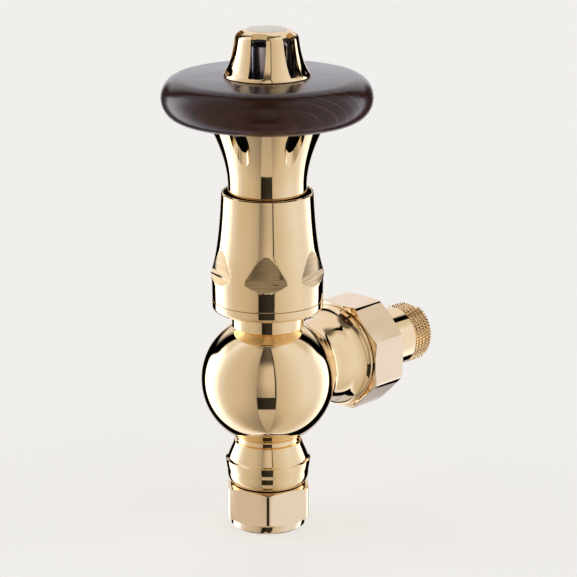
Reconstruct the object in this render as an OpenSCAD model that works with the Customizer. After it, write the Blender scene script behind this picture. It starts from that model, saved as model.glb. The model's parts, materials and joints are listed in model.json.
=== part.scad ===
// Angled thermostatic radiator valve with a turned wooden wheel head.
// Z is the pipe's axis and X the outlet's axis. The origin is the centre of the pipe's mouth.

/* [Heights] */
// Height of the outlet's axis above the pipe's mouth
ball_z = 51.2; // [50.4:0.2:54]
// Height of the sleeve's seat above the outlet's axis
seat_up = 28.05; // [27.6:0.05:30]
// Height of the lock sleeve
sleeve_h = 36.4; // [34:0.2:40]
// Length of skirt that shows between the sleeve and the wheel
skirt_show = 24.45; // [22.8:0.05:28]
// Height of the top cap
cap_h = 15.1; // [14.6:0.1:16]

/* [Pipe inlet] */
// Outside diameter of the copper pipe
pipe_d = 15; // [14:0.5:15.5]
// Width of the compression nut across its flats
nut_af = 27; // [26.4:0.2:28]
// Height of the compression nut
nut_h = 15.2; // [14.6:0.1:16]
// Turned diameter that rounds the nut's corners
nut_corner_d = 30.4; // [29.8:0.1:30.8]
// Diameter of the nut's round foot
nut_foot_d = 25.4; // [24.8:0.1:26]
// Height of the nut's round foot
nut_foot_h = 2.7; // [2:0.1:3.2]
// Thickness of the nut's floor round the pipe
nut_floor = 2.2; // [1.8:0.1:2.8]
// Diameter of the body's threaded spigot
spigot_d = 21.2; // [20.6:0.1:21.8]
// Height of the spigot's mouth above the pipe's mouth
spigot_z = 8.5; // [8.2:0.1:9.2]
// Depth of the pipe socket in the spigot
socket_deep = 13.5; // [11:0.5:15]
// Diameter of the olive
olive_d = 17.8; // [17.2:0.1:18.2]
// Angle that the compression nut is turned to
nut_turn = 44; // [0:1:59]

/* [Body] */
// Diameter of the ball
ball_d = 44.8; // [43.6:0.2:46]
// Diameter of the water chamber in the ball
chamber_d = 36; // [34:0.5:37.5]
// Widest diameter of the bulb above the nut
bulb_d = 28.6; // [27.6:0.2:29.6]
// Diameter of the bulb's lower edge
bulb_foot_d = 25.2; // [24.6:0.2:26]
// Height of the bulb from its foot to its raised lip
bulb_lip_h = 8.4; // [7.8:0.1:9]
// Height of the bulb's tapered shoulder above the lip
shoulder_h = 6; // [5.4:0.1:6.6]
// Diameter of the shoulder's top
shoulder_d = 23.4; // [22.6:0.2:24.2]
// Diameter of the neck below the ball
low_neck_d = 21.2; // [20.4:0.2:22.2]
// Diameter of the neck above the ball
top_neck_d = 24; // [23:0.2:24.6]
// Height of the straight edge of the body's top flange
flange_edge = 2; // [1.4:0.1:2.4]
// Height of the rounded underside of the body's top flange
flange_under = 2.9; // [2.4:0.1:3.2]
// Diameter of the thread that carries the lock sleeve
boss_d = 30; // [29:0.2:31]
// Height of that thread
boss_h = 10.75; // [10:0.25:12]
// Diameter of the waterway under the seat
water_d = 12.6; // [11:0.2:13]
// Height of the seat's rim below the outlet's axis
seat_down = 6.5; // [6:0.1:7.5]
// Diameter of the seat's rim
seat_d = 16; // [15:0.2:17]

/* [Side outlet] */
// Height of the outlet's axis above the ball's centre
outlet_up = 0.3; // [0:0.1:0.6]
// Diameter of the side neck where it leaves the ball
side_neck_d = 26; // [25:0.2:27]
// Diameter of the flared collar beside the union nut
collar_d = 34.6; // [33.6:0.2:35.4]
// Thickness of the collar's rim
collar_rim = 0.9; // [0.6:0.1:1.4]
// Distance of the union nut's near face from the pipe's axis
union_x = 33.85; // [33:0.05:36]
// Width of the eight-sided union nut across its flats
union_af = 36.2; // [35.8:0.2:38]
// Length of the union nut
union_len = 14.5; // [14:0.1:16]
// Diameter of the body's outlet thread
union_thread_d = 26.4; // [26:0.1:27]
// Length of the body's outlet thread
union_thread_len = 8.2; // [7.6:0.1:8.6]
// Thickness of the flat seal between body and tail
seal_t = 1.6; // [1:0.1:2]
// Thickness of the tail's flange
tail_flange_t = 2.5; // [2:0.1:2.8]
// Diameter of the outlet waterway
outlet_d = 16; // [14:0.2:17]

/* [Radiator tail] */
// Outside diameter of the tail's tapping thread, half inch pipe size
tail_thread_d = 20.955; // [20.6:0.05:21.2]
// Diameter of the tail's plain tube
tail_d = 20.6; // [20.2:0.1:20.9]
// Length of the threaded end of the tail
tail_thread_len = 9.2; // [8:0.2:14]
// Length of plain tube that shows between union nut and thread
tail_show = 15.95; // [14:0.05:18]
// Waterway through the tail
tail_bore_d = 11.6; // [10:0.2:11.8]
// Width of the hexagon key socket in the tail
key_af = 12.7; // [12.2:0.1:13.2]
// Depth of the key socket
key_deep = 11; // [9:0.5:13]

/* [Lock sleeve] */
// Diameter of the sleeve's rim
rim_d = 30.6; // [30.2:0.1:31.4]
// Diameter of the sleeve's foot and of the body's top flange
foot_d = 37; // [36.6:0.1:38]
// Widest diameter, at the ridge of the wrench notches
ridge_d = 37.6; // [37.4:0.1:38.4]
// Height of the notches' ridge above the sleeve's foot
ridge_z = 10.6; // [10.2:0.1:11]
// Distance across two opposite notch flats
notch_af = 34.3; // [33.8:0.1:34.8]
// Angle that each notch flat leans in by
notch_lean = 2.5; // [1.5:0.5:4]
// Height of the edge band under each notch flat
notch_band = 1.4; // [1:0.1:1.8]
// Height of the sloping face below each notch
notch_slope = 2.4; // [2:0.1:2.8]
// Number of wrench notches
notch_count = 6; // [5:1:6]
// Angle that the sleeve is turned to
sleeve_turn = 42.3; // [0:0.1:59.9]
// Diameter of the sleeve's upper bore
sleeve_bore_d = 28.7; // [28.3:0.1:28.9]
// Thickness of the lip that holds the core down
lip_t = 2; // [1.4:0.1:2.4]

/* [Skirt] */
// Diameter of the skirt's straight tube
skirt_d = 26; // [25.6:0.1:26.4]
// Bore of the skirt's straight tube
skirt_bore_d = 23.5; // [23.3:0.1:23.7]
// Diameter of the skirt's flange under the wheel
skirt_flange_d = 40; // [38:0.2:42]
// Wall of the skirt at its flange
flare_wall = 2; // [1.6:0.1:2.2]
// Length of the flared part
flare_h = 22.6; // [21.6:0.1:23.6]
// Length of tube that reaches down into the sleeve
skirt_dip = 15.65; // [13:0.05:16]
// Diameter of the air scoops cut into the flare
scoop_d = 6.5; // [6:0.1:7.2]
// Distance of the scoops' bottom from the axis
scoop_reach = 14.4; // [14.1:0.1:15]
// Number of air scoops
scoop_count = 6; // [4:1:7]
// Angle that the skirt is turned to
skirt_turn = 14; // [0:1:59]

/* [Wheel] */
// Diameter of the wooden wheel
wheel_d = 69; // [64:0.5:74]
// Thickness of the wheel
wheel_t = 13.8; // [13:0.1:15]
// Width of the wheel's rounded edge
wheel_edge = 6.2; // [5.4:0.1:7]
// Bore of the wheel
wheel_bore_d = 25.8; // [25.2:0.1:26]

/* [Top cap] */
// Diameter of the cap's foot on the wheel
cap_foot_d = 28.2; // [27.8:0.1:29.6]
// Diameter of the cap below its shoulder
cap_d = 20.8; // [20.6:0.1:21.6]
// Wall of the cap
cap_wall = 1.3; // [1:0.1:1.4]
// Thickness of the cap's roof
roof_t = 1.1; // [1:0.1:1.3]
// Diameter of the flat on top of the cap
cap_flat_d = 13.9; // [13.6:0.1:14.6]
// Height of the closed ring below the slots
slot_z = 1.3; // [1:0.1:1.8]
// Width of the air slots
slot_w = 5.1; // [4.6:0.1:5.6]
// Number of air slots
slot_count = 6; // [4:1:6]
// Angle that the cap is turned to
cap_turn = 28.5; // [0:0.5:59.5]
// Distance of the slots' inner ends from the axis
slot_reach = 7.9; // [7.7:0.1:8.3]
// Diameter of the white disc on top
disc_d = 12.8; // [12:0.1:13.2]
// Depth of the disc's recess
disc_sink = 0.4; // [0.3:0.1:0.6]
// Height of the disc's edge above the cap
disc_edge = 0.2; // [0:0.1:0.4]
// Rise of the disc's dome
disc_rise = 0.6; // [0.5:0.1:1]
// Diameter of the cap screw
screw_d = 3; // [2.5:0.5:3.5]
// Diameter of the cap screw's head
screw_head_d = 5.6; // [5:0.2:6]
// Height of the cap screw's head
screw_head_h = 0.8; // [0.6:0.1:0.9]

/* [Sensor and cage] */
// Diameter of the sensor capsule
capsule_d = 13; // [12.6:0.1:13.4]
// Gap between the capsule's top and the cage's roof
capsule_gap = 1.2; // [1:0.1:2]
// Diameter of the capsule's foot
capsule_foot_d = 16.4; // [16:0.1:16.6]
// Thickness of the capsule's foot
capsule_foot_t = 2; // [1.6:0.1:2.4]
// Wall of the cage's lower tube
cage_wall = 1.12; // [1.05:0.01:1.16]
// Outside diameter of the cage's part inside the wheel
cage_mid_d = 22; // [21.4:0.1:22.6]
// Wall of the cage's top part
cage_top_wall = 1; // [0.8:0.1:1.2]
// Thickness of the cage's roof
cage_roof_t = 1.5; // [1.2:0.1:1.8]
// Thickness of the stop that the overload spring presses on
stop_t = 1.5; // [1.2:0.1:1.8]
// Wire of the overload spring
overload_wire = 1.1; // [0.9:0.1:1.2]
// Height of the retaining clip above the core's top
clip_up = 1.6; // [1.6:0.1:2]
// Thickness of the retaining clip
clip_t = 1.2; // [1:0.1:1.3]
// Diameter of the sensor's push pin
pin_d = 4; // [3.6:0.1:4.4]
// Depth that the push pin reaches into the capsule
pin_in = 14; // [10:1:16]

/* [Core] */
// Diameter of the core's threaded tube
core_d = 21; // [20.8:0.1:21.1]
// Bore of the core
core_bore_d = 17.2; // [17:0.1:17.4]
// Diameter of the core's foot
core_foot_d = 29.2; // [28.6:0.1:29.4]
// Thickness of the core's foot
core_foot_t = 2.5; // [2.2:0.1:3]
// Diameter of the shoulder above the core's foot
core_shoulder_d = 25.2; // [24.8:0.1:25.4]
// Height of the core's shoulder
core_shoulder_h = 8; // [7.6:0.1:8.4]
// Depth of the pocket over the valve insert
pocket_deep = 6.5; // [6.2:0.1:6.8]
// Diameter of that pocket
pocket_d = 22; // [21.6:0.1:22.4]
// Distance from the core's top to the wheel's underside
core_drop = 11.1; // [10.9:0.1:12]
// Length of the sensor carrier's guide tube
carrier_len = 20; // [16:0.5:22]
// Width of the carrier's two keys
key_w = 2.4; // [2:0.1:2.8]

/* [Valve insert] */
// Diameter of the insert's thread in the body
insert_d = 16; // [15.6:0.1:16.6]
// Bore for the return spring
insert_bore_d = 12; // [11.8:0.1:12.4]
// Width of the insert's hexagon
insert_af = 18; // [17.6:0.1:18.4]
// Height of the insert's hexagon
insert_hex_h = 4.5; // [4:0.1:4.8]
// Thickness of the washer under the hexagon
washer_t = 1; // [0.8:0.1:1.2]
// Length of the insert below the body's top
insert_len = 28; // [27:0.5:29]
// Thickness of the insert's floor
insert_floor = 2; // [1.6:0.1:2.6]
// Diameter of the gland nut's thread
gland_d = 13; // [12.6:0.1:13.2]
// Length of the gland nut's thread
gland_len = 6; // [5.4:0.1:6.4]
// Width of the gland nut's hexagon
gland_af = 11; // [10:0.1:11.2]
// Height of the gland nut's hexagon
gland_hex_h = 2.5; // [2:0.1:2.8]
// Diameter of the spindle
spindle_d = 3; // [2.8:0.1:3.4]
// Height of the spindle's tip above the gland nut
spindle_show = 6; // [4.5:0.1:6.5]
// Diameter of the spindle's spring collar
spindle_collar_d = 11.2; // [10.8:0.1:11.4]
// Thickness of that collar
spindle_collar_t = 1.5; // [1.2:0.1:1.8]
// Wire of the return spring
return_wire = 1.2; // [1:0.1:1.4]
// Diameter of the plug washer
plug_d = 15.6; // [15:0.2:16.4]
// Thickness of the plug washer
plug_washer_t = 2.5; // [2:0.1:3]
// Thickness of the plug holder
plug_holder_t = 3; // [2.4:0.1:3.4]
// Gap between plug washer and seat as shown
plug_gap = 1.85; // [1.85:0.05:2.4]
// Width of the plug's nut
plug_nut_af = 5.5; // [5:0.1:6]
// Thickness of the plug's nut
plug_nut_t = 2; // [1.6:0.1:2.4]

/* [Clearances] */
// Radial gap round the pipe
pipe_gap = 0.1; // [0.05:0.01:0.2]
// Radial gap between pieces that are screwed or pressed together
fit_gap = 0.05; // [0.03:0.01:0.06]
// Radial gap of a sliding or turning fit
run_gap = 0.08; // [0.06:0.01:0.09]
// Gap between pieces that must not touch
free_gap = 0.4; // [0.35:0.01:0.45]
// Way that the head rises or sinks from the height shown
head_travel = 1.25; // [1:0.05:1.3]
// Way that the sensor moves the stem from the place shown
stem_travel = 0.5; // [0.3:0.05:0.5]

/* [Hidden] */

$fn = 96;
curve_steps = 10;
brass = [0.86, 0.72, 0.45];
wood = [0.24, 0.11, 0.09];
black = [0.08, 0.08, 0.08];
steel = [0.72, 0.72, 0.74];
rubber = [0.12, 0.12, 0.13];
white = [0.92, 0.92, 0.9];

// Heights of the main faces, from the pipe's mouth up
seam_z = ball_z + seat_up;
boss_z = seam_z + boss_h;
rim_z = seam_z + sleeve_h;
wheel_z = rim_z + skirt_show;
cap_z = wheel_z + wheel_t;
top_z = cap_z + cap_h;

// Body and inlet
ball_r = ball_d / 2;
socket_r = pipe_d / 2 + pipe_gap;
socket_top = spigot_z + socket_deep;
bulb_z = nut_h + 0.3;
lip_top = bulb_z + bulb_lip_h;
neck_z = lip_top + shoulder_h;
valve_seat_z = ball_z - seat_down;
insert_bore_r = insert_d / 2 + fit_gap;

// Outlet
outlet_z = ball_z + outlet_up;
union_face = union_x + union_thread_len;
tail_x = union_face + seal_t;
union_end = union_x + union_len;
tail_thread_x = union_end + tail_show;
tail_end = tail_thread_x + tail_thread_len;

// Insert, gland and stem
insert_z = boss_z + washer_t;
insert_bottom = boss_z - insert_len;
insert_top = insert_z + insert_hex_h;
gland_z = insert_top - gland_len;
gland_top = insert_top + gland_hex_h;
tip_z = gland_top + spindle_show;
stem_reach = head_travel + stem_travel;
collar_top = gland_z - stem_reach - free_gap;
spring_z = insert_bottom + insert_floor;
plug_z = valve_seat_z + plug_gap;
holder_z = plug_z + plug_washer_t;
ring_r = 0.9;

// Core, cage and sensor
core_top = wheel_z - core_drop;
clip_z = core_top + clip_up;
flange_z = clip_z + clip_t;
carrier_t = 2.2;
capsule_z = flange_z + carrier_t;
cage_bore_r = core_d / 2 + run_gap;
cage_low_r = cage_bore_r + cage_wall;
skirt_z = rim_z - skirt_dip;
cage_z = skirt_z + 2;
cage_top = top_z - roof_t;
cage_roof_z = cage_top - cage_roof_t;
capsule_top = cage_roof_z - capsule_gap;
wide_top = capsule_z + capsule_foot_t + free_gap;
stop_z = cap_z - 2;
spring_bore_r = capsule_foot_d / 2 + free_gap;
carrier_r = core_bore_d / 2 - run_gap;
pin_r = pin_d / 2;

// Points of a curve from a to c that heads for b on its way
function curve(a, b, c) = [for (i = [0 : curve_steps])
    let (t = i / curve_steps) (1 - t) * (1 - t) * a + 2 * t * (1 - t) * b + t * t * c];

// Points of an ellipse's arc round centre c
function oval(c, rx, ry, from, to) = [for (i = [0 : curve_steps])
    let (t = from + (to - from) * i / curve_steps) c + [rx * cos(t), ry * sin(t)]];

// A turned piece from its half outline of [radius, height] points
module turned(points) {
    rotate_extrude() polygon(points);
}

// The same, lying along the outlet's axis
module turned_x(points) {
    translate([0, 0, outlet_z]) rotate([0, 90, 0]) turned(points);
}

module tube(r, bore, z0, z1) {
    translate([0, 0, z0]) difference() {
        cylinder(r = r, h = z1 - z0);
        translate([0, 0, -1]) cylinder(r = bore, h = z1 - z0 + 2);
    }
}

// A regular prism given by its width across flats
module prism(af, sides, h) {
    cylinder(d = af / cos(180 / sides), h = h, $fn = sides);
}

// Round wire wound into a coil spring whose ends stay inside z0 and z1
module coil(r, wire, z0, z1, turns) {
    sides = 8;
    steps = 16;
    count = turns * steps;
    rise = z1 - z0 - wire;
    points = [for (i = [0 : count], j = [0 : sides - 1])
        let (a = 360 * i / steps, b = 360 * j / sides, rr = r + wire / 2 * cos(b))
        [rr * cos(a), rr * sin(a), z0 + wire / 2 + rise * i / count + wire / 2 * sin(b)]];
    around = [for (i = [0 : count - 1], j = [0 : sides - 1])
        let (k = (j + 1) % sides)
        [i * sides + j, i * sides + k, (i + 1) * sides + k, (i + 1) * sides + j]];
    start = [[for (j = [0 : sides - 1]) sides - 1 - j]];
    end = [[for (j = [0 : sides - 1]) count * sides + j]];
    polyhedron(points, concat(around, start, end), convexity = 10);
}

// Outer form of the body below and above the ball
module body_turned() {
    bulb_r = bulb_d / 2;
    foot_r = bulb_foot_d / 2;
    step_r = bulb_r - 0.9;
    shoulder_r = shoulder_d / 2;
    neck_r = low_neck_d / 2;
    turned(concat(
        [[0, spigot_z], [spigot_d / 2, spigot_z], [spigot_d / 2, bulb_z], [foot_r, bulb_z]],
        curve([foot_r, bulb_z + 0.2], [bulb_r - 0.6, bulb_z + 0.8], [bulb_r - 0.45, bulb_z + 3.6]),
        curve([bulb_r - 0.35, bulb_z + 4.6], [bulb_r, lip_top - 2], [bulb_r, lip_top - 0.3]),
        curve([bulb_r - 0.3, lip_top], [step_r + 0.1, lip_top + 0.3], [step_r - 0.1, lip_top + 1.2]),
        curve([shoulder_r, neck_z - 1], [shoulder_r - 0.2, neck_z], [neck_r + 0.6, neck_z]),
        [[neck_r, neck_z + 0.3], [neck_r, ball_z], [0, ball_z]]));
    edge_z = seam_z - flange_edge;
    under_z = edge_z - flange_under;
    neck_top_r = top_neck_d / 2;
    foot_top_r = foot_d / 2;
    turned(concat(
        [[0, ball_z], [neck_top_r, ball_z], [neck_top_r, under_z], [neck_top_r + 0.6, under_z],
            [neck_top_r + 0.6, under_z + 0.4]],
        curve([foot_top_r - 2.6, under_z + 1], [foot_top_r, under_z + 1.5], [foot_top_r, edge_z]),
        [[foot_top_r, seam_z], [boss_d / 2, seam_z], [boss_d / 2, boss_z - 0.6],
            [boss_d / 2 - 0.6, boss_z], [0, boss_z]]));
}

// Side neck with its flared collar and the outlet thread
module body_side() {
    neck_r = side_neck_d / 2;
    rim_r = collar_d / 2;
    rim_x = union_x - 0.3;
    turned_x(concat(
        [[0, 0], [neck_r + 1.4, 0]],
        curve([neck_r + 1.4, ball_r - 5.4], [neck_r, ball_r - 3.6], [neck_r, ball_r - 1.2]),
        curve([neck_r + 0.1, ball_r - 0.6], [neck_r + 1.5, union_x - 8], [neck_r + 1.6, union_x - 6]),
        curve([neck_r + 1.7, union_x - 5.4], [rim_r - 1.8, rim_x - collar_rim - 1],
            [rim_r, rim_x - collar_rim]),
        [[rim_r, rim_x], [union_thread_d / 2, rim_x], [union_thread_d / 2, union_face - 0.5],
            [union_thread_d / 2 - 0.5, union_face], [0, union_face]]));
}

module valve_body() {
    color(brass) difference() {
        union() {
            body_turned();
            body_side();
            translate([0, 0, ball_z]) sphere(d = ball_d);
        }
        body_hollows();
    }
}

module body_hollows() {
    mouth_r = olive_d / 2 + 0.2;
    translate([0, 0, spigot_z - 1]) cylinder(r = socket_r, h = socket_deep + 1);
    translate([0, 0, spigot_z - 0.01]) cylinder(r1 = mouth_r, r2 = socket_r, h = mouth_r - socket_r);
    translate([0, 0, socket_top - 1]) cylinder(d = water_d, h = ball_z - socket_top + 1);
    difference() {
        translate([0, 0, ball_z]) sphere(d = chamber_d);
        translate([0, 0, -1]) cylinder(d = chamber_d + 2, h = valve_seat_z - 2.5);
        translate([0, 0, valve_seat_z - 5]) cylinder(d = seat_d, h = 5);
    }
    translate([0, 0, ball_z]) cylinder(r = insert_bore_r, h = boss_z - ball_z + 1);
    translate([0, 0, outlet_z]) rotate([0, 90, 0]) cylinder(d = outlet_d, h = union_face + 1);
}

module compression_nut() {
    foot_r = nut_foot_d / 2;
    wide_r = nut_corner_d / 2;
    thread_r = spigot_d / 2 + fit_gap;
    floor_r = olive_d / 2 + fit_gap;
    color(brass) difference() {
        intersection() {
            rotate([0, 0, nut_turn]) prism(nut_af, 6, nut_h);
            turned([[0, 0], [foot_r - 0.5, 0], [foot_r, 0.5], [foot_r, nut_foot_h],
                [foot_r + 0.3, nut_foot_h], [wide_r, nut_foot_h + 1.4], [wide_r, nut_h - 0.6],
                [foot_r - 0.4, nut_h], [0, nut_h]]);
        }
        translate([0, 0, -1]) cylinder(r = socket_r, h = nut_h);
        turned([[0, nut_floor], [socket_r + 0.2, nut_floor], [floor_r, nut_floor + 1.6],
            [thread_r, spigot_z - 1.5], [thread_r, nut_h + 1], [0, nut_h + 1]]);
    }
}

module compression_olive() {
    low = nut_floor + 0.5;
    high = spigot_z + 0.6;
    wide_r = olive_d / 2 - 0.1;
    thin_r = socket_r + 0.35;
    color(brass) turned([[socket_r, low], [thin_r, low], [wide_r, low + 1.9], [wide_r, spigot_z - 1],
        [thin_r, high], [socket_r, high]]);
}

module union_nut() {
    face_r = union_af / 2 - 0.2;
    corner_r = union_af / 2 / cos(22.5) - 0.15;
    bevel = 0.7;
    thread_r = union_thread_d / 2 + fit_gap;
    wall_x = tail_x + tail_flange_t + fit_gap;
    color(brass) difference() {
        intersection() {
            translate([union_x, 0, outlet_z]) rotate([0, 90, 0]) rotate([0, 0, 22.5])
                prism(union_af, 8, union_len);
            turned_x([[0, union_x], [face_r, union_x], [corner_r, union_x + bevel],
                [corner_r, union_end - bevel], [face_r, union_end], [0, union_end]]);
        }
        turned_x([[0, union_x - 1], [thread_r, union_x - 1], [thread_r, wall_x],
            [tail_d / 2 + 0.3, wall_x], [tail_d / 2 + 0.3, union_end + 1], [0, union_end + 1]]);
    }
}

module union_seal() {
    color(rubber) turned_x([[outlet_d / 2 + 0.2, union_face], [union_thread_d / 2 - 0.7, union_face],
        [union_thread_d / 2 - 0.7, tail_x], [outlet_d / 2 + 0.2, tail_x]]);
}

module union_tail() {
    thread_r = tail_thread_d / 2;
    flange_r = union_thread_d / 2 - 0.2;
    color(brass) difference() {
        turned_x([[0, tail_x], [flange_r, tail_x], [flange_r, tail_x + tail_flange_t],
            [tail_d / 2, tail_x + tail_flange_t], [tail_d / 2, tail_thread_x],
            [thread_r, tail_thread_x + 0.3], [thread_r, tail_end - 0.6], [thread_r - 0.6, tail_end],
            [0, tail_end]]);
        translate([tail_x - 1, 0, outlet_z]) rotate([0, 90, 0])
            cylinder(d = tail_bore_d, h = tail_end - tail_x + 2);
        translate([tail_end - key_deep, 0, outlet_z]) rotate([0, 90, 0])
            prism(key_af, 6, key_deep + 1);
    }
}

module valve_insert() {
    guide_r = spindle_d / 2 + run_gap;
    color(brass) difference() {
        union() {
            translate([0, 0, insert_bottom]) cylinder(d = insert_d, h = insert_len + washer_t);
            translate([0, 0, insert_z]) prism(insert_af, 6, insert_hex_h);
        }
        translate([0, 0, insert_bottom - 1]) cylinder(r = guide_r, h = insert_floor + 2);
        translate([0, 0, spring_z]) cylinder(d = insert_bore_d, h = gland_z - spring_z + 1);
        translate([0, 0, gland_z]) cylinder(r = gland_d / 2 + fit_gap, h = gland_len + 1);
    }
}

module insert_washer() {
    color([0.7, 0.4, 0.28]) tube(insert_af / 2, insert_d / 2 + fit_gap, boss_z, insert_z);
}

module gland_nut() {
    bore_r = spindle_d / 2 + run_gap;
    pocket_r = bore_r + 2 * ring_r + fit_gap;
    color(brass) difference() {
        union() {
            translate([0, 0, gland_z]) cylinder(d = gland_d, h = gland_len);
            translate([0, 0, insert_top]) prism(gland_af, 6, gland_hex_h);
        }
        translate([0, 0, gland_z - 1]) cylinder(r = bore_r, h = gland_len + gland_hex_h + 2);
        translate([0, 0, gland_z + 1.5]) cylinder(r = pocket_r, h = 2 * ring_r + 2 * fit_gap);
    }
}

module gland_o_ring() {
    inner_r = spindle_d / 2 + run_gap;
    color(rubber) translate([0, 0, gland_z + 1.5 + ring_r + fit_gap])
        rotate_extrude() translate([inner_r + ring_r, 0]) circle(r = ring_r);
}

module return_spring() {
    spring_r = insert_bore_d / 2 - free_gap - return_wire / 2 - 0.3;
    color(steel) coil(spring_r, return_wire, spring_z + fit_gap,
        collar_top - spindle_collar_t - fit_gap, 6);
}

// One wrench notch: a flat that leans in, an edge band and a sloping face below
module notch_cut() {
    flat_r = notch_af / 2;
    band_r = flat_r + 0.35;
    out_r = ridge_d / 2 + 2;
    up = 14;
    grow = (out_r - band_r) / (ridge_d / 2 - band_r);
    translate([0, 0, seam_z + ridge_z]) rotate([90, 0, 0]) translate([0, 0, -20])
        linear_extrude(40) polygon([[flat_r, 0], [flat_r - up * tan(notch_lean), up], [out_r, up],
            [out_r, -notch_band - notch_slope * grow], [band_r, -notch_band]]);
}

module lock_sleeve() {
    foot_r = foot_d / 2;
    ridge_r = ridge_d / 2;
    rim_r = rim_d / 2;
    thread_r = boss_d / 2 + fit_gap;
    lip_z = boss_z + core_foot_t;
    lip_r = core_shoulder_d / 2 + fit_gap;
    ridge_top = seam_z + ridge_z - 1.2;
    color(brass) difference() {
        turned(concat(
            [[0, seam_z], [foot_r, seam_z]],
            curve([foot_r + 0.05, seam_z + 2], [foot_r + 0.1, ridge_top - 3],
                [ridge_r - 0.05, ridge_top - 0.8]),
            curve([ridge_r, ridge_top], [rim_r + 0.8, ridge_top + 8.1], [rim_r, rim_z - 0.3]),
            [[rim_r - 0.3, rim_z], [0, rim_z]]));
        translate([0, 0, seam_z - 1]) cylinder(r = thread_r, h = lip_z - seam_z + 1);
        translate([0, 0, lip_z - 1]) cylinder(r = lip_r, h = lip_t + 2);
        translate([0, 0, lip_z + lip_t]) cylinder(d = sleeve_bore_d, h = sleeve_h);
        for (i = [0 : notch_count - 1]) rotate([0, 0, sleeve_turn + i * 360 / notch_count])
            notch_cut();
    }
}

module head_core() {
    core_r = core_d / 2;
    shoulder_z = boss_z + core_shoulder_h;
    slot_r = carrier_r + free_gap + 1.03;
    color(black) difference() {
        turned([[0, boss_z], [core_foot_d / 2, boss_z], [core_foot_d / 2, boss_z + core_foot_t],
            [core_shoulder_d / 2, boss_z + core_foot_t], [core_shoulder_d / 2, shoulder_z],
            [core_r, shoulder_z], [core_r, core_top - 0.5], [core_r - 0.5, core_top], [0, core_top]]);
        translate([0, 0, boss_z - 1]) cylinder(d = pocket_d, h = pocket_deep + 1);
        translate([0, 0, boss_z]) cylinder(d = core_bore_d, h = core_top - boss_z + 1);
        translate([-slot_r, -key_w / 2 - 0.3, flange_z - carrier_len - 3])
            cube([2 * slot_r, key_w + 0.6, carrier_len + 10]);
    }
}

module sensor_carrier() {
    key_r = carrier_r + 1.03;
    carrier_z = flange_z - carrier_len;
    color(white) difference() {
        union() {
            translate([0, 0, carrier_z]) cylinder(r = carrier_r, h = carrier_len + 1);
            translate([0, 0, flange_z]) cylinder(r = cage_bore_r - free_gap, h = carrier_t);
            intersection() {
                translate([-key_r, -key_w / 2, carrier_z + 1]) cube([2 * key_r, key_w, carrier_len - 5]);
                translate([0, 0, carrier_z]) cylinder(r = key_r, h = carrier_len);
            }
        }
        translate([0, 0, carrier_z - 1]) cylinder(r = carrier_r - 1.5, h = carrier_len - 2);
        translate([0, 0, carrier_z]) cylinder(r = pin_r + run_gap, h = carrier_len + 10);
    }
}

module sensor_capsule() {
    capsule_r = capsule_d / 2;
    color(steel) difference() {
        turned([[0, capsule_z], [capsule_foot_d / 2, capsule_z],
            [capsule_foot_d / 2, capsule_z + capsule_foot_t], [capsule_r, capsule_z + capsule_foot_t],
            [capsule_r, capsule_top - 1], [capsule_r - 1, capsule_top], [0, capsule_top]]);
        translate([0, 0, capsule_z - 1]) cylinder(r = pin_r + run_gap, h = pin_in + stem_travel + 2);
    }
}

module overload_spring() {
    spring_r = capsule_d / 2 + free_gap + overload_wire / 2 + 0.1;
    color(steel) coil(spring_r, overload_wire, capsule_z + capsule_foot_t + fit_gap,
        stop_z - free_gap + 0.1, 5);
}

module sensor_cage() {
    mid_r = cage_mid_d / 2;
    top_r = cap_d / 2 - cap_wall - 0.1;
    tip_r = cap_flat_d / 2 - cap_wall - 0.1;
    fin_r = wheel_bore_d / 2 - fit_gap;
    top_bore = top_r - cage_top_wall;
    clip_r = cage_bore_r + cage_wall / 2;
    mid_z = wheel_z - 1.5;
    color(black) difference() {
        union() {
            turned(concat([[0, cage_z], [cage_low_r, cage_z], [cage_low_r, mid_z], [mid_r, mid_z],
                [mid_r, cap_z + 0.6], [top_r, cap_z + 0.6]],
                curve([top_r, cage_top - 3], [top_r - 0.3, cage_top - 0.7], [tip_r, cage_top - 0.05]),
                [[0, cage_top - 0.05]]));
            intersection() {
                for (i = [0 : 2]) rotate([0, 0, i * 60]) translate([-fin_r, -0.8, wheel_z + 0.3])
                    cube([2 * fin_r, 1.6, wheel_t - 0.6]);
                translate([0, 0, wheel_z]) cylinder(r = fin_r, h = wheel_t);
            }
        }
        turned([[0, cage_z - 1], [cage_bore_r, cage_z - 1], [cage_bore_r, clip_z], [clip_r, clip_z],
            [clip_r, flange_z], [cage_bore_r, flange_z], [cage_bore_r, wide_top],
            [spring_bore_r, wide_top], [spring_bore_r, stop_z], [capsule_d / 2 + free_gap, stop_z],
            [capsule_d / 2 + free_gap, stop_z + stop_t], [top_bore, stop_z + stop_t],
            [top_bore, cage_roof_z], [0, cage_roof_z]]);
        translate([0, 0, cage_roof_z - 1]) cylinder(r = screw_d / 2 + fit_gap, h = cage_roof_t + 2);
        for (i = [0 : slot_count - 1]) rotate([0, 0, cap_turn + i * 360 / slot_count])
            translate([3, -slot_w / 2 - 0.3, cap_z + slot_z])
                cube([mid_r, slot_w + 0.6, cage_roof_z - cap_z - slot_z - 0.1]);
    }
}

module retaining_clip() {
    clip_r = cage_bore_r + cage_wall / 2 - fit_gap;
    color(steel) difference() {
        tube(clip_r, carrier_r + free_gap, clip_z, flange_z);
        translate([0, -1.5, clip_z - 1]) cube([clip_r + 1, 3, clip_t + 2]);
    }
}

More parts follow.
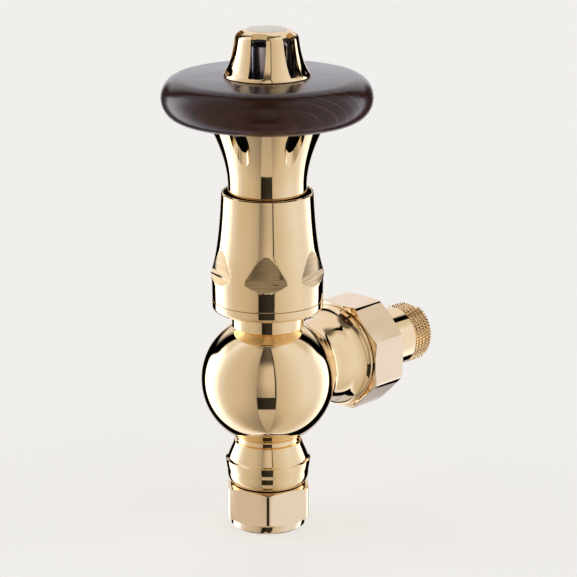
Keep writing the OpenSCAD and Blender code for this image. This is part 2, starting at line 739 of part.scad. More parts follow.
module upper_skirt() {
    tube_r = skirt_d / 2;
    bore_r = skirt_bore_d / 2;
    flange_r = skirt_flange_d / 2;
    flare_z = wheel_z - flare_h;
    bend_z = wheel_z - flare_h * 0.58;
    out = curve([tube_r, flare_z], [tube_r, bend_z], [flange_r, wheel_z - 0.4]);
    in = curve([flange_r - flare_wall, wheel_z + 0.01], [bore_r, bend_z], [bore_r, flare_z]);
    scoop_x = scoop_reach + scoop_d / 2;
    color(brass) difference() {
        turned(concat([[bore_r, skirt_z], [tube_r - 0.3, skirt_z], [tube_r, skirt_z + 0.3]], out,
            [[flange_r, wheel_z], [flange_r - flare_wall, wheel_z]], in));
        for (i = [0 : scoop_count - 1]) rotate([0, 0, skirt_turn + i * 360 / scoop_count])
            translate([scoop_x, 0, flare_z]) cylinder(d = scoop_d, h = flare_h + 1);
    }
}

module wood_wheel() {
    mid = wheel_z + wheel_t / 2;
    edge_x = wheel_d / 2 - wheel_edge;
    bore_r = wheel_bore_d / 2;
    color(wood) turned(concat(
        [[bore_r, wheel_z], [edge_x - 1, wheel_z]],
        oval([edge_x, mid], wheel_edge, wheel_t / 2, -90, 90),
        [[edge_x - 1, cap_z], [bore_r, cap_z]]));
}

// Outside and inside of the cap, foot to roof
function cap_outline(off, roof) = concat(
    curve([cap_foot_d / 2 - 0.1 - off, cap_z + 0.9], [cap_d / 2 + 1 - off, cap_z + 4.2],
        [cap_d / 2 - off, roof - 3]),
    curve([cap_d / 2 - off, roof - 2.9], [cap_d / 2 - 0.3 - off, roof - 0.6],
        [cap_flat_d / 2 - off, roof]));

module top_cap() {
    foot_r = cap_foot_d / 2;
    roof = top_z - roof_t;
    color(brass) difference() {
        turned(concat([[0, cap_z], [foot_r - 0.2, cap_z], [foot_r, cap_z + 0.25]],
            cap_outline(0, top_z), [[0, top_z]]));
        turned(concat([[0, cap_z - 1], [foot_r - cap_wall, cap_z - 1]],
            cap_outline(cap_wall, roof), [[0, roof]]));
        translate([0, 0, top_z - disc_sink]) cylinder(r = disc_d / 2 + fit_gap, h = disc_sink + 1);
        translate([0, 0, roof - 1]) cylinder(r = screw_d / 2 + 0.1, h = roof_t + 2);
        for (i = [0 : slot_count - 1]) rotate([0, 0, cap_turn + i * 360 / slot_count])
            translate([slot_reach, -slot_w / 2, cap_z + slot_z])
                cube([foot_r, slot_w, cap_h]);
    }
}

module cap_screw() {
    head_z = top_z - disc_sink;
    color(steel) difference() {
        union() {
            translate([0, 0, head_z]) cylinder(d = screw_head_d, h = screw_head_h);
            translate([0, 0, cage_roof_z]) cylinder(d = screw_d, h = head_z - cage_roof_z + 0.1);
        }
        translate([-screw_head_d, -0.4, head_z + screw_head_h - 0.5])
            cube([2 * screw_head_d, 0.8, 1]);
    }
}

module top_disc() {
    disc_r = disc_d / 2;
    floor_z = top_z - disc_sink;
    edge_z = top_z + disc_edge;
    color(white) difference() {
        turned(concat([[0, floor_z], [disc_r, floor_z], [disc_r, edge_z - 0.2]],
            curve([disc_r - 0.2, edge_z], [disc_r / 2, edge_z + disc_rise], [0, edge_z + disc_rise])));
        translate([0, 0, floor_z - 1])
            cylinder(r = screw_head_d / 2 + 0.2, h = screw_head_h + 1.05);
    }
}

module push_pin() {
    color(steel) translate([0, 0, tip_z]) cylinder(r = pin_r, h = capsule_z + pin_in - tip_z);
}

module spindle() {
    color(steel) {
        translate([0, 0, plug_z - plug_nut_t - 0.3])
            cylinder(d = spindle_d, h = tip_z - plug_z + plug_nut_t + 0.3);
        translate([0, 0, collar_top - spindle_collar_t])
            cylinder(d = spindle_collar_d, h = spindle_collar_t);
    }
}

module plug_holder() {
    color(brass) tube(plug_d / 2 + 0.2, spindle_d / 2 + fit_gap, holder_z, holder_z + plug_holder_t);
}

module plug_washer() {
    color(rubber) tube(plug_d / 2, spindle_d / 2 + fit_gap, plug_z, holder_z);
}

module plug_nut() {
    color(brass) difference() {
        translate([0, 0, plug_z - plug_nut_t]) prism(plug_nut_af, 6, plug_nut_t);
        translate([0, 0, plug_z - plug_nut_t - 1])
            cylinder(r = spindle_d / 2 + fit_gap, h = plug_nut_t + 2);
    }
}

valve_body();
compression_nut();
compression_olive();
union_nut();
union_tail();
union_seal();
valve_insert();
insert_washer();
gland_nut();
gland_o_ring();
return_spring();
lock_sleeve();
head_core();
sensor_carrier();
sensor_capsule();
overload_spring();
sensor_cage();
retaining_clip();
upper_skirt();
wood_wheel();
top_cap();
cap_screw();
top_disc();
push_pin();
spindle();
plug_holder();
plug_washer();
plug_nut();
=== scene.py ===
import json
import math

import bmesh
import bpy
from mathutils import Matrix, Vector


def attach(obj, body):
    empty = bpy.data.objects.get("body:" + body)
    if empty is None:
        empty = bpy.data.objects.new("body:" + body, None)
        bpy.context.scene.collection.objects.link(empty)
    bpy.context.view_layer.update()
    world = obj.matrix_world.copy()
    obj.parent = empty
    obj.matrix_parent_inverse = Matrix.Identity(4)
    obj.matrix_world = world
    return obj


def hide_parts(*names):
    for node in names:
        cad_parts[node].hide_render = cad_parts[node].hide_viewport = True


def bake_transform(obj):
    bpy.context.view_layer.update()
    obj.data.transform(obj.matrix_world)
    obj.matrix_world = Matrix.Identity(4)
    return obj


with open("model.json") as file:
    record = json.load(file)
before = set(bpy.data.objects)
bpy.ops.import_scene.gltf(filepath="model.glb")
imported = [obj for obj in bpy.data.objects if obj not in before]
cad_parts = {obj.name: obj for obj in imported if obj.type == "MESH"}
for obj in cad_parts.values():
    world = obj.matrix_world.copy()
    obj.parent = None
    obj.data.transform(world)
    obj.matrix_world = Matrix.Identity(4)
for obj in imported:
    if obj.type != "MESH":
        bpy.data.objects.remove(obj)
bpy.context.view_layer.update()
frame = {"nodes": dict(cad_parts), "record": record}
cad = frame["nodes"]
print("frame loaded,", len(cad), "nodes")


def addNode(tree, kind, settings=None, sockets=None, output=0):
    node = tree.nodes.new(kind)
    for name, value in (settings or {}).items():
        if name == "stops":
            fillRamp(node.color_ramp, value)
        else:
            setattr(node, name, value)
    for name, value in (sockets or {}).items():
        if isinstance(value, Signal):
            tree.links.new(value.socket, node.inputs[name])
        elif value is not None:
            node.inputs[name].default_value = value
    return Signal(tree, node.outputs[output] if len(node.outputs) else None, node)


def fillRamp(ramp, stops):
    while len(ramp.elements) > 1:
        ramp.elements.remove(ramp.elements[-1])
    for index, (place, colour) in enumerate(stops):
        stop = ramp.elements[0] if index == 0 else ramp.elements.new(place)
        stop.position = place
        stop.color = (*colour, 1)


class Signal:
    # a socket that takes part in plain arithmetic
    def __init__(self, tree, socket, node):
        self.tree = tree
        self.socket = socket
        self.node = node

    def math(self, operation, *values):
        return addNode(self.tree, "ShaderNodeMath", {"operation": operation}, dict(enumerate(values)))

    def __add__(self, other):
        return self.math("ADD", self, other)

    def __radd__(self, other):
        return self.math("ADD", other, self)

    def __sub__(self, other):
        return self.math("SUBTRACT", self, other)

    def __rsub__(self, other):
        return self.math("SUBTRACT", other, self)

    def __mul__(self, other):
        return self.math("MULTIPLY", self, other)

    def __rmul__(self, other):
        return self.math("MULTIPLY", other, self)

    def __truediv__(self, other):
        return self.math("DIVIDE", self, other)

    def __rtruediv__(self, other):
        return self.math("DIVIDE", other, self)

    def __pow__(self, other):
        return self.math("POWER", self, other)

    def __abs__(self):
        return self.math("ABSOLUTE", self)

    def most(self, other):
        return self.math("MAXIMUM", self, other)

    def ramp(self, low, high, start=0.0, end=1.0):
        # start at low, end at high, eased in between
        return addNode(self.tree, "ShaderNodeMapRange", {"interpolation_type": "SMOOTHSTEP"},
                       {"Value": self, "From Min": low, "From Max": high, "To Min": start, "To Max": end})

    def colours(self, stops):
        return addNode(self.tree, "ShaderNodeValToRGB", {"stops": stops}, {0: self})

    def parts(self):
        split = addNode(self.tree, "ShaderNodeSeparateXYZ", None, {0: self})
        return [Signal(self.tree, socket, split.node) for socket in split.node.outputs]


def rgb(red, green, blue):
    # a screen colour, 0 to 255, as the linear values that sockets take
    def straight(c):
        c = c / 255
        return c / 12.92 if c <= 0.04045 else ((c + 0.055) / 1.055) ** 2.4
    return (straight(red), straight(green), straight(blue))


def mixColour(tree, amount, first, second, blend="MIX"):
    def fourth(c):
        return c if isinstance(c, Signal) else (*c, 1)
    return addNode(tree, "ShaderNodeMix", {"data_type": "RGBA", "blend_type": blend},
                   {0: amount, 6: fourth(first), 7: fourth(second)}, output=2)


def newMaterial(name):
    material = bpy.data.materials.new(name)
    material.use_nodes = True
    tree = material.node_tree
    tree.nodes.clear()
    return material, tree


def finishMaterial(tree, sockets):
    shader = addNode(tree, "ShaderNodeBsdfPrincipled", None, sockets)
    addNode(tree, "ShaderNodeOutputMaterial", None, {"Surface": shader})


def ownPlace(tree):
    return addNode(tree, "ShaderNodeTexCoord", output=3)


def turnedPlace(tree, place, centre=(0, 0, 0), angles=(0, 0, 0), stretch=(1, 1, 1)):
    return addNode(tree, "ShaderNodeMapping", {"vector_type": "TEXTURE"},
                   {"Vector": place, "Location": centre, "Rotation": angles, "Scale": stretch})


def cloud(tree, place, scale, detail=3.0, rough=0.5, twist=0.0):
    return addNode(tree, "ShaderNodeTexNoise", None,
                   {"Vector": place, "Scale": scale, "Detail": detail, "Roughness": rough, "Distortion": twist})


def bumped(tree, height, strength, depth):
    return addNode(tree, "ShaderNodeBump", None, {"Height": height, "Strength": strength, "Distance": depth})


# the flats' dark brown is partly cutter marks and partly painted shade and painted reflection
polishedBrassLook = {
    "pale": rgb(243, 217, 174), "deep": rgb(239, 211, 165), "nuts": rgb(240, 217, 184), "milled": rgb(94, 74, 44),
    "gloss": 0.035, "smear": 0.05, "waviness": 0.00002, "milledGloss": 0.09,
}


def span(node, axis):
    places = [corner[axis] for corner in cad[node].bound_box]
    return min(places), max(places)


def makePolishedBrass():
    look = polishedBrassLook
    material, tree = newMaterial("polishedBrass")
    place = ownPlace(tree)
    broad = cloud(tree, place, 60, 2)
    fine = cloud(tree, place, 900, 4, 0.6)
    smears = cloud(tree, turnedPlace(tree, place, stretch=(1, 1, 0.25)), 240, 5, 0.65)
    colour = mixColour(tree, broad.ramp(0.35, 0.65), look["deep"], look["pale"])
    outward, _, upward = place.parts()
    sideStart, sideEnd = span("union_nut", 0)
    pipeTop = span("compression_nut", 2)[1]
    onSideNut = outward.ramp(sideStart - 0.0001, sideStart) * outward.ramp(sideEnd, sideEnd + 0.0001, 1.0, 0.0)
    onNuts = onSideNut.most(upward.ramp(pipeTop, pipeTop + 0.0001, 1.0, 0.0))
    colour = mixColour(tree, onNuts, colour, look["nuts"])
    # the wrench flats of the lock sleeve keep the marks of the cutter, and their darker brown is painted shade and
    # painted reflection, strongest on the lower flats
    milled = addNode(tree, "ShaderNodeAttribute", {"attribute_name": "milled"}, output=2)
    cutter = cloud(tree, turnedPlace(tree, place, stretch=(6, 6, 0.12)), 500, 3, 0.6)
    colour = mixColour(tree, milled * cutter.ramp(0.3, 0.7, 0.8, 1.0), colour, look["milled"])
    roughness = look["gloss"] + look["smear"] * smears.ramp(0.5, 0.85) + 0.012 * fine
    roughness = roughness + milled * look["milledGloss"] * cutter.ramp(0.3, 0.7, 0.7, 1.2)
    finishMaterial(tree, {"Base Color": colour, "Metallic": 1.0, "Roughness": roughness,
                          "Normal": bumped(tree, broad + milled * cutter * 0.15, 0.35, look["waviness"])})
    return material


turnedBrassLook = {"light": rgb(214, 178, 118), "dark": rgb(176, 138, 82), "gloss": 0.26}


def makeTurnedBrass():
    look = turnedBrassLook
    material, tree = newMaterial("turnedBrass")
    place = ownPlace(tree)
    rings = cloud(tree, turnedPlace(tree, place, stretch=(1, 1, 0.02)), 80, 3)
    patches = cloud(tree, place, 220, 4)
    colour = mixColour(tree, patches.ramp(0.3, 0.7), look["dark"], look["light"])
    finishMaterial(tree, {"Base Color": colour, "Metallic": 1.0, "Roughness": look["gloss"] + 0.12 * rings,
                          "Normal": bumped(tree, rings, 0.4, 0.00003)})
    return material


mahoganyLook = {
    "heart": rgb(36, 13, 8), "flesh": rgb(57, 24, 16), "line": rgb(112, 78, 66), "pore": rgb(20, 8, 6),
    "gloss": 0.30, "varnish": 1.0, "varnishGloss": 0.2, "varnishIndex": 1.38,
    "ringsPerMetre": 345, "pith": (-0.0420, -0.0400, 0.125), "grainHeading": -46.4,
}


def makeMahogany():
    look = mahoganyLook
    material, tree = newMaterial("darkMahogany")
    place = ownPlace(tree)
    board = turnedPlace(tree, place, look["pith"], (0, math.radians(90), math.radians(look["grainHeading"])))
    down, away, along = board.parts()
    sway = cloud(tree, turnedPlace(tree, board, stretch=(1, 1, 3)), 45, 3, 0.5)
    reach = ((down ** 2 + away ** 2) ** 0.5) + sway * 0.006
    phase = (reach * look["ringsPerMetre"]).math("FRACT", reach * look["ringsPerMetre"])
    lateLine = phase.ramp(0.80, 0.97) * phase.ramp(1.0, 0.975)
    uneven = cloud(tree, board, 70, 3)
    endGrain = along.ramp(0.002, 0.024)
    fibres = cloud(tree, turnedPlace(tree, board, stretch=(1, 1, 22)), 4200, 2, 0.6)
    streaks = cloud(tree, turnedPlace(tree, board, stretch=(1, 1, 12)), 700, 4, 0.6)
    pores = fibres.ramp(0.60, 0.74)
    wood = mixColour(tree, streaks.ramp(0.3, 0.75) * 0.55 + phase * 0.45, look["heart"], look["flesh"])
    wood = mixColour(tree, lateLine * uneven.ramp(0.25, 0.65) * endGrain * 0.75, wood, look["line"])
    wood = mixColour(tree, pores * 0.5, wood, look["pore"])
    height = streaks * 0.3 - pores * 0.7 + lateLine * 0.2
    finishMaterial(tree, {"Base Color": wood, "Roughness": look["gloss"] + 0.10 * streaks + 0.12 * pores,
                          "Specular IOR Level": 0.06, "Specular Tint": (1.0, 0.9, 0.8, 1.0),
                          "Coat Weight": look["varnish"], "Coat Roughness": look["varnishGloss"],
                          "Coat IOR": look["varnishIndex"],
                          "Normal": bumped(tree, height, 0.22, 0.00005)})
    return material


def makePlastic(name, base, shade, gloss, grain):
    material, tree = newMaterial(name)
    place = ownPlace(tree)
    speckle = cloud(tree, place, 2600, 4, 0.7)
    drift = cloud(tree, place, 120, 2)
    colour = mixColour(tree, drift.ramp(0.3, 0.7), base, shade)
    finishMaterial(tree, {"Base Color": colour, "Roughness": gloss + 0.1 * speckle,
                          "Normal": bumped(tree, speckle, grain, 0.00004)})
    return material


def makeBrightMetal(name, light, dark, gloss, scratchTurn):
    material, tree = newMaterial(name)
    place = ownPlace(tree)
    drawn = cloud(tree, turnedPlace(tree, place, angles=scratchTurn, stretch=(1, 1, 30)), 3000, 3, 0.6)
    drift = cloud(tree, place, 150, 3)
    colour = mixColour(tree, drift.ramp(0.3, 0.7), light, dark)
    finishMaterial(tree, {"Base Color": colour, "Metallic": 1.0, "Roughness": gloss + 0.12 * drawn,
                          "Normal": bumped(tree, drawn, 0.2, 0.00002)})
    return material


def makeRubber():
    material, tree = newMaterial("sealRubber")
    place = ownPlace(tree)
    dust = cloud(tree, place, 1400, 4, 0.7)
    colour = mixColour(tree, dust.ramp(0.45, 0.8), rgb(22, 22, 23), rgb(44, 43, 42))
    finishMaterial(tree, {"Base Color": colour, "Roughness": 0.6 + 0.25 * dust,
                          "Normal": bumped(tree, dust, 0.3, 0.00005)})
    return material


finishes = {
    "polished_brass": makePolishedBrass(),
    "turned_brass": makeTurnedBrass(),
    "dark_wood": makeMahogany(),
    "black_plastic": makePlastic("blackPlastic", rgb(20, 19, 18), rgb(30, 28, 26), 0.34, 0.35),
    "white_plastic": makePlastic("whitePlastic", rgb(252, 244, 230), rgb(246, 238, 224), 0.3, 0.12),
    "nickel": makeBrightMetal("capsuleNickel", rgb(206, 200, 208), rgb(178, 170, 178), 0.2, (0, 0, 0)),
    "steel": makeBrightMetal("springSteel", rgb(196, 194, 190), rgb(158, 156, 152), 0.22, (0, 0, 0)),
    "rubber": makeRubber(),
    "copper": makeBrightMetal("washerCopper", rgb(226, 146, 110), rgb(196, 118, 84), 0.28, (0, 0, 0)),
}
print("finishes made")


pieceList = {
    "polished_brass": ["valve_body", "compression_nut", "union_nut", "union_tail", "lock_sleeve", "upper_skirt",
                       "top_cap"],
    "turned_brass": ["compression_olive", "valve_insert", "gland_nut", "plug_holder", "plug_nut"],
    "dark_wood": ["wood_wheel"],
    "black_plastic": ["head_core", "sensor_cage"],
    "white_plastic": ["sensor_carrier", "top_disc"],
    "nickel": ["sensor_capsule"],
    "steel": ["return_spring", "overload_spring", "retaining_clip", "cap_screw", "push_pin", "spindle"],
    "rubber": ["union_seal", "gland_o_ring", "plug_washer"],
    "copper": ["insert_washer"],
}
bodyOf = {node: body for body, members in frame["record"]["behaviour"]["bodies"].items() for node in members}


# upper is the share of the painted shade that the upper flats get
flatsLook = {"low": 0.083, "high": 0.103, "least": 0.004, "upper": 0.78, "edge": 0.3}


def markFlats(mesh):
    # the sleeve's wrench flats are wider than the strips of its round wall; the mark on each flat also carries its
    # painted shade
    mark = mesh.attributes.new("milled", "FLOAT", "FACE")
    for face in mesh.polygons:
        corners = [mesh.vertices[index].co.xy for index in face.vertices]
        width = max((one - other).length for one in corners for other in corners)
        isFlat = (width > flatsLook["least"] and abs(face.normal.z) < 0.85
                  and flatsLook["low"] < face.center.z < flatsLook["high"])
        # the lower flats, facing down, are the darker ones: they get the full painted shade, the upper ones part of it
        mark.data[face.index].value = (1.0 if face.normal.z < 0 else flatsLook["upper"]) * isFlat
    print("flats marked,", sum(entry.value > 0 for entry in mark.data))


def weighEdges(mesh, shell):
    # the seams are broken in full, the edges of the wrench flats only a little
    weights = mesh.attributes.new("bevel_weight_edge", "FLOAT", "EDGE")
    shell.edges.ensure_lookup_table()
    for edge in shell.edges:
        if len(edge.link_faces) == 2 and edge.calc_face_angle() > math.radians(32):
            onFlats = any(flatsLook["low"] < vertex.co.z < flatsLook["high"] for vertex in edge.verts)
            weights.data[edge.index].value = flatsLook["edge"] if onFlats else 1.0


def sleekCopy(node, name, sharpAngle, edge, material, finish):
    # the node's own shape with its loose triangles joined, so that curved faces shade smoothly
    mesh = cad[node].data.copy()
    mesh.name = name
    cloth = bmesh.new()
    cloth.from_mesh(mesh)
    bmesh.ops.remove_doubles(cloth, verts=cloth.verts, dist=0.000002)
    bmesh.ops.dissolve_degenerate(cloth, edges=cloth.edges, dist=0.000001)
    bmesh.ops.dissolve_limit(cloth, angle_limit=math.radians(0.25), verts=cloth.verts, edges=cloth.edges)
    cloth.to_mesh(mesh)
    if node == "lock_sleeve":
        markFlats(mesh)
        weighEdges(mesh, cloth)
    cloth.free()
    if mesh.has_custom_normals:
        mesh.normals_split_custom_set([(0, 0, 0)] * len(mesh.loops))
    mesh.shade_smooth()
    mesh.set_sharp_from_angle(angle=math.radians(sharpAngle))
    mesh.materials.clear()
    mesh.materials.append(material)
    piece = bpy.data.objects.new(name, mesh)
    bpy.context.scene.collection.objects.link(piece)
    if edge:
        softened = piece.modifiers.new("brokenEdges", "BEVEL")
        softened.width = edge
        softened.segments = 2
        softened.harden_normals = True
        if node == "lock_sleeve":
            softened.limit_method = "WEIGHT"
            softened.use_clamp_overlap = False
        else:
            softened.limit_method = "ANGLE"
            softened.angle_limit = math.radians(32)
    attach(piece, bodyOf[node])
    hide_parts(node)
    return piece


smoothed = {  # the dressed piece's name, the angle past which an edge stays sharp, and how much the edges are broken
    "valve_body": ("valveBody", 24, 0.0003), "compression_nut": ("pipeNut", 24, 0.00045),
    "union_nut": ("sideNut", 24, 0.00025),
    "lock_sleeve": ("lockSleeve", 15, 0.0004), "upper_skirt": ("upperSkirt", 24, 0.00015),
    "top_cap": ("topCap", 24, 0.00015), "wood_wheel": ("woodWheel", 24, 0.0),
}
for finish, members in pieceList.items():
    for node in members:
        if node in smoothed:
            sleekCopy(node, *smoothed[node], finishes[finish], finish)
        elif node not in ("union_tail", "return_spring"):
            cad[node].data.materials.clear()
            cad[node].data.materials.append(finishes[finish])
print("cad pieces dressed")


tailSizes = {
    # millimetres along the outlet, and radii about its middle line
    "middle": 51.5, "start": 43.65, "flangeEnd": 46.15, "flange": 13.0, "tube": 10.3, "tubeEnd": 64.1,
    "root": 9.45, "rootStart": 64.45, "rootEnd": 73.0, "end": 73.5, "mouth": 9.0,
    "keySeat": 6.35, "keyDepth": 11.0, "bore": 5.8,
    "crest": 10.46, "pitch": 1.68, "ridge": 0.5, "teethPerTurn": 58, "toothHeight": 0.42, "toothFoot": 0.46,
    "toothTip": 0.2, "steps": 240,
}


def hexagonReach(angle):
    return 1 / math.cos((angle + math.pi / 6) % (math.pi / 3) - math.pi / 6)


def makeTailBlank():
    size = tailSizes
    seat = size["end"] - size["keyDepth"]
    # place along the outlet, radius, and whether it is the six-sided seat
    outline = [(size["start"], size["bore"], 0), (size["start"], size["flange"], 0),
               (size["flangeEnd"], size["flange"], 0), (size["flangeEnd"], size["tube"], 0),
               (size["tubeEnd"], size["tube"], 0),
               (size["rootStart"], size["root"], 0), (size["rootEnd"], size["root"], 0),
               (size["end"], size["mouth"], 0), (size["end"], size["keySeat"], 1),
               (seat, size["keySeat"], 1), (seat, size["bore"], 0)]
    points, faces = [], []
    for place, radius, sided in outline:
        for step in range(size["steps"]):
            angle = 2 * math.pi * step / size["steps"]
            reach = radius * (hexagonReach(angle) if sided else 1)
            across, up = reach * math.cos(angle), size["middle"] + reach * math.sin(angle)
            points.append((place / 1000, across / 1000, up / 1000))
    rows = len(outline)
    for row in range(rows):
        here, after = row * size["steps"], (row + 1) % rows * size["steps"]
        for step in range(size["steps"]):
            turned = (step + 1) % size["steps"]
            faces.append((here + step, here + turned, after + turned, after + step))
    mesh = bpy.data.meshes.new("radiatorTail")
    mesh.from_pydata(points, [], faces)
    shell = bmesh.new()
    shell.from_mesh(mesh)
    bmesh.ops.recalc_face_normals(shell, faces=shell.faces)
    shell.to_mesh(mesh)
    shell.free()
    mesh.shade_smooth()
    mesh.set_sharp_from_angle(angle=math.radians(24))
    return mesh


def threadTree():
    # a rolled ridge with a row of small teeth on it, wound about the outlet's middle line
    tree = bpy.data.node_groups.new("serratedThread", "GeometryNodeTree")
    tree.interface.new_socket(name="Geometry", in_out="INPUT", socket_type="NodeSocketGeometry")
    for name in ("Thread Start", "Thread Length", "Pitch", "Root Radius", "Crest Radius", "Ridge Radius",
                 "Teeth per Turn", "Tooth Height", "Tooth Foot", "Tooth Tip", "Middle Height"):
        tree.interface.new_socket(name=name, in_out="INPUT", socket_type="NodeSocketFloat")
    tree.interface.new_socket(name="Finish", in_out="INPUT", socket_type="NodeSocketMaterial")
    tree.interface.new_socket(name="Geometry", in_out="OUTPUT", socket_type="NodeSocketGeometry")
    entry = tree.nodes.new("NodeGroupInput")
    given = {socket.name: Signal(tree, socket, entry) for socket in entry.outputs if socket.name}
    turns = given["Thread Length"] / given["Pitch"]

    def winding(radius):
        return addNode(tree, "GeometryNodeCurveSpiral", None,
                       {"Resolution": 64, "Rotations": turns, "Start Radius": radius, "End Radius": radius,
                        "Height": given["Thread Length"]})

    section = addNode(tree, "GeometryNodeCurvePrimitiveCircle", None,
                      {"Resolution": 8, "Radius": given["Ridge Radius"]})
    ridge = addNode(tree, "GeometryNodeCurveToMesh", None,
                    {"Curve": winding(given["Root Radius"]), "Profile Curve": section, "Fill Caps": True})
    rows = addNode(tree, "GeometryNodeCurveToPoints", {"mode": "COUNT"},
                   {"Curve": winding(given["Crest Radius"] - given["Tooth Height"]),
                    "Count": turns * given["Teeth per Turn"]})
    tooth = addNode(tree, "GeometryNodeMeshCone", {"fill_type": "NGON"},
                    {"Vertices": 6, "Radius Top": given["Tooth Tip"], "Radius Bottom": given["Tooth Foot"],
                     "Depth": given["Tooth Height"]})
    spot = addNode(tree, "GeometryNodeInputPosition")
    outward = addNode(tree, "ShaderNodeVectorMath", {"operation": "MULTIPLY"}, {0: spot, 1: (1, 1, 0)})
    facing = addNode(tree, "FunctionNodeAlignRotationToVector", {"axis": "Z"}, {"Vector": outward})
    teeth = addNode(tree, "GeometryNodeInstanceOnPoints", None,
                    {"Points": rows, "Instance": tooth, "Rotation": facing})
    wound = addNode(tree, "GeometryNodeJoinGeometry")
    for part in (ridge, teeth):
        tree.links.new(part.socket, wound.node.inputs[0])
    shift = addNode(tree, "ShaderNodeCombineXYZ", None, {"X": given["Thread Start"], "Z": given["Middle Height"]})
    laid = addNode(tree, "GeometryNodeTransform", None,
                   {"Geometry": wound, "Translation": shift, "Rotation": (0, math.radians(90), 0)})
    both = addNode(tree, "GeometryNodeJoinGeometry")
    for part in (given["Geometry"], laid):
        tree.links.new(part.socket, both.node.inputs[0])
    real = addNode(tree, "GeometryNodeRealizeInstances", None, {"Geometry": both})
    coated = addNode(tree, "GeometryNodeSetMaterial", None, {"Geometry": real, "Material": given["Finish"]})
    last = tree.nodes.new("NodeGroupOutput")
    tree.links.new(coated.socket, last.inputs["Geometry"])
    return tree


def grown(piece, tree, values):
    # runs a tree on the piece with these inputs and keeps the plain mesh
    modifier = piece.modifiers.new(tree.name, "NODES")
    modifier.node_group = tree
    for item in tree.interface.items_tree:
        if item.in_out == "INPUT" and item.name in values:
            modifier[item.identifier] = values[item.name]
    bpy.context.view_layer.update()
    seen = piece.evaluated_get(bpy.context.evaluated_depsgraph_get())
    mesh = bpy.data.meshes.new_from_object(seen)
    piece.modifiers.remove(modifier)
    piece.data = mesh
    return piece


def makeTail():
    size = tailSizes
    tail = bpy.data.objects.new("radiatorTail", makeTailBlank())
    bpy.context.scene.collection.objects.link(tail)
    tail.data.materials.append(finishes["polished_brass"])
    start = size["rootStart"] + 0.55
    grown(tail, threadTree(), {
        "Thread Start": start / 1000, "Thread Length": (size["rootEnd"] - 0.55 - start) / 1000,
        "Pitch": size["pitch"] / 1000, "Root Radius": size["root"] / 1000, "Crest Radius": size["crest"] / 1000,
        "Ridge Radius": size["ridge"] / 1000, "Teeth per Turn": size["teethPerTurn"],
        "Tooth Height": size["toothHeight"] / 1000, "Tooth Foot": size["toothFoot"] / 1000,
        "Tooth Tip": size["toothTip"] / 1000, "Middle Height": size["middle"] / 1000,
        "Finish": finishes["polished_brass"]})
    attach(tail, "valve")
    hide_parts("union_tail")
    print("tail made,", len(tail.data.polygons), "faces")


makeTail()

springLook = {"wire": 0.0011, "split": 0.68}


def makeSpring():
    # the spring is cut at a set share of its height into lower and upper coils, each closed at the cut; the bodies
    # listed for each part are not used
    low, high = span("return_spring", 2)
    split = low + (high - low) * springLook["split"]
    parts = [("returnSpringLower", False, ("valve", "carriage"), (low + springLook["wire"], split)),
             ("returnSpringUpper", True, ("carriage", "stem"), (split, high - springLook["wire"]))]
    for name, isUpper, bodies, ends in parts:
        mesh = cad["return_spring"].data.copy()
        mesh.name = name
        coil = bmesh.new()
        coil.from_mesh(mesh)
        bmesh.ops.remove_doubles(coil, verts=coil.verts, dist=0.000001)
        bmesh.ops.bisect_plane(coil, geom=[*coil.verts, *coil.edges, *coil.faces], plane_co=(0, 0, split),
                               plane_no=(0, 0, 1), clear_inner=isUpper, clear_outer=not isUpper)
        bmesh.ops.holes_fill(coil, edges=[edge for edge in coil.edges if edge.is_boundary])
        bmesh.ops.recalc_face_normals(coil, faces=coil.faces)
        coil.to_mesh(mesh)
        coil.free()
        mesh.shade_smooth()
        mesh.set_sharp_from_angle(angle=math.radians(40))
        mesh.materials.clear()
        mesh.materials.append(finishes["steel"])
        piece = bpy.data.objects.new(name, mesh)
        bpy.context.scene.collection.objects.link(piece)
        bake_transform(piece)
        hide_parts("return_spring")
    print("spring made, from", round(low, 5), "to", round(high, 5))


makeSpring()


cameraPlace = {"spot": (-0.5198, -0.5040, 0.2963), "heading": 43.57, "down": 16.455, "lens": 142.4}
paleRoom = rgb(242, 241, 237)


def makeCamera():
    where = cameraPlace
    heading, down = math.radians(where["heading"]), math.radians(where["down"])
    forward = Vector((math.cos(heading) * math.cos(down), math.sin(heading) * math.cos(down), -math.sin(down)))
    data = bpy.data.cameras.new("photoCamera")
    data.lens = where["lens"]
    data.sensor_width = 36
    data.clip_end = 50
    camera = bpy.data.objects.new("photoCamera", data)
    camera.location = where["spot"]
    camera.rotation_mode = "QUATERNION"
    camera.rotation_quaternion = forward.to_track_quat("-Z", "Y")
    bpy.context.scene.collection.objects.link(camera)
    bpy.context.scene.camera = camera


studioLook = {
    # brightness of each soft box by its angle from the camera side, in degrees
    "leftBox": [(0, 0.42), (18, 0.42), (24, 0.50), (40, 0.62), (60, 0.70), (74, 0.84),
                (88, 1.30), (98, 2.3), (112, 3.2)],
    "rightBox": [(0, 0.62), (15, 0.60), (32, 0.84), (50, 1.10), (70, 1.34),
                 (88, 1.28), (100, 1.55), (112, 2.3), (128, 3.0)],
    "boxLean": 16, "backdrop": (0.94, 0.93, 0.99), "table": (0.68, 0.68, 0.74), "floorGlow": 0.655,
}


def stepped(angle, points):
    # a brightness that runs straight from point to point, as a ramp over 180 degrees
    stops = [(place / 180, (value / 4, value / 4, value / 4)) for place, value in points]
    return addNode(angle.tree, "ShaderNodeSeparateColor", None, {0: (angle / 180).colours(stops)}) * 4


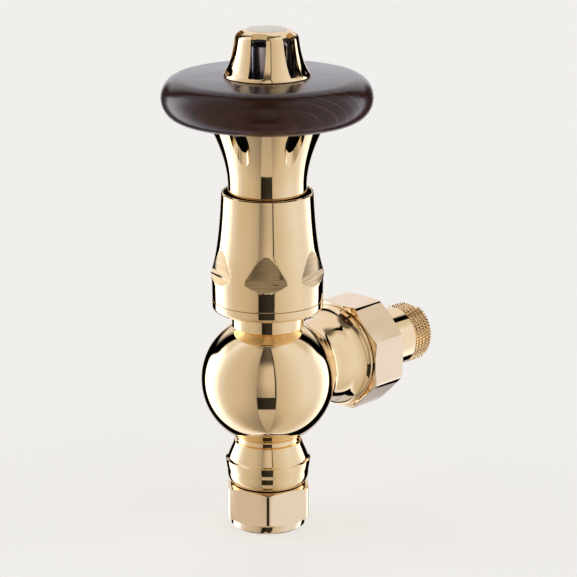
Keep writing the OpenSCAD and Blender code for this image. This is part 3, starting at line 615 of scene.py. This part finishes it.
def makeStudio():
    look = studioLook
    world = bpy.data.worlds.new("softStudio")
    world.use_nodes = True
    bpy.context.scene.world = world
    tree = world.node_tree
    tree.nodes.clear()
    heading = cameraPlace["heading"]
    way = addNode(tree, "ShaderNodeTexCoord", output=0)
    near = addNode(tree, "ShaderNodeMapping", {"vector_type": "POINT"},
                   {"Vector": way, "Rotation": (0, 0, math.radians(-heading - 180))})
    toCamera, side, up = near.parts()
    # turn is the angle from the camera side, positive to the right in the picture
    turn = side.math("ARCTAN2", side, toCamera) * 57.2958
    height = up.math("ARCSINE", up) * 57.2958
    spread = abs(turn)
    isLeft = turn.ramp(-0.5, 0.5, 1.0, 0.0)
    lean = height.ramp(0, 20, 0.0, look["boxLean"])  # the outer edges of the boxes lean in towards the top
    left = stepped(spread, look["leftBox"]) * (spread + lean).ramp(132, 136, 1.0, 0.0)
    right = stepped(spread, look["rightBox"]) * (spread + lean * 0.6).ramp(126, 130, 1.0, 0.0)
    boxes = left * isLeft + right * (1 - isLeft)
    # towards the floor the boxes fade, and high above the camera they part
    boxes = boxes * height.ramp(-75, -15, 0.55, 1.0) * (1 - 0.6 * spread.ramp(88, 108) * height.ramp(18, 38))
    inside = turn.ramp(-19.5, -17.5) * turn.ramp(14.5, 15.5, 1.0, 0.0)
    slit = turn.ramp(11.8, 12.8) * turn.ramp(14.9, 15.5, 1.0, 0.0) * height.ramp(-16, -14)
    middle = turn.ramp(-19.5, 6, 0.36, 0.80) * height.ramp(-14, 14, 0.68, 1.0) * height.ramp(30, 50, 1.0, 0.17)
    dark = height.ramp(-37.5, -36.0) * height.ramp(-15.5, -14.5, 1.0, 0.0)
    low = height.ramp(-80, -37, 0.46, 0.58)
    below = height.ramp(-37.2, -36.8, 0.0, 1.0)
    middle = (middle * below + low * (1 - below)) * (1 - dark * 0.93) * (1 - slit * 0.93)
    glow = boxes * (1 - inside) + middle * inside
    behind = spread.ramp(157, 163)
    behind = behind.most(spread.ramp(134, 146) * height.ramp(9, 17))
    overhead = height.ramp(64, 76)
    glow = glow * (1 - overhead) + overhead * 0.14
    tint = (glow / 4).colours([(0.0, (0, 0, 0)), (0.65 / 4, (0.70, 0.635, 0.56)), (0.88 / 4, (0.77, 0.735, 0.71)),
                               (1.25 / 4, (0.90, 0.92, 0.99)), (1.6 / 4, (1.0, 1.04, 1.22)),
                               (2.2 / 4, (1.45, 1.5, 1.7)), (1.0, (3.7, 3.75, 3.9))])
    backdrop = mixColour(tree, height.ramp(-28, -18), look["table"], look["backdrop"])
    tint = mixColour(tree, behind * (1 - overhead), tint, backdrop)
    seen = addNode(tree, "ShaderNodeLightPath", output=0)
    colour = mixColour(tree, seen, tint, paleRoom)
    shine = addNode(tree, "ShaderNodeBackground", None, {"Color": colour, "Strength": 1.0})
    addNode(tree, "ShaderNodeOutputWorld", None, {"Surface": shine})


def makeFloor():
    look = studioLook
    mesh = bpy.data.meshes.new("paleFloor")
    reach = 6.0
    corners = [(-reach, -reach, 0), (reach, -reach, 0), (reach, reach, 0), (-reach, reach, 0)]
    mesh.from_pydata(corners, [], [(0, 1, 2, 3)])
    floor = bpy.data.objects.new("paleFloor", mesh)
    bpy.context.scene.collection.objects.link(floor)
    material, tree = newMaterial("palePaper")
    place = ownPlace(tree)
    fibre = cloud(tree, place, 400, 3)
    colour = mixColour(tree, fibre, rgb(178, 177, 174), rgb(180, 179, 176))
    finishMaterial(tree, {"Base Color": colour, "Roughness": 0.9, "Specular IOR Level": 0.0,
                          "Emission Color": (*paleRoom, 1), "Emission Strength": look["floorGlow"]})
    mesh.materials.append(material)
    floor.visible_glossy = False


makeCamera()
makeStudio()
makeFloor()
bpy.context.scene.view_settings.view_transform = "Standard"
bpy.context.scene.view_settings.look = "None"
print("studio ready")


bpy.context.view_layer.update()
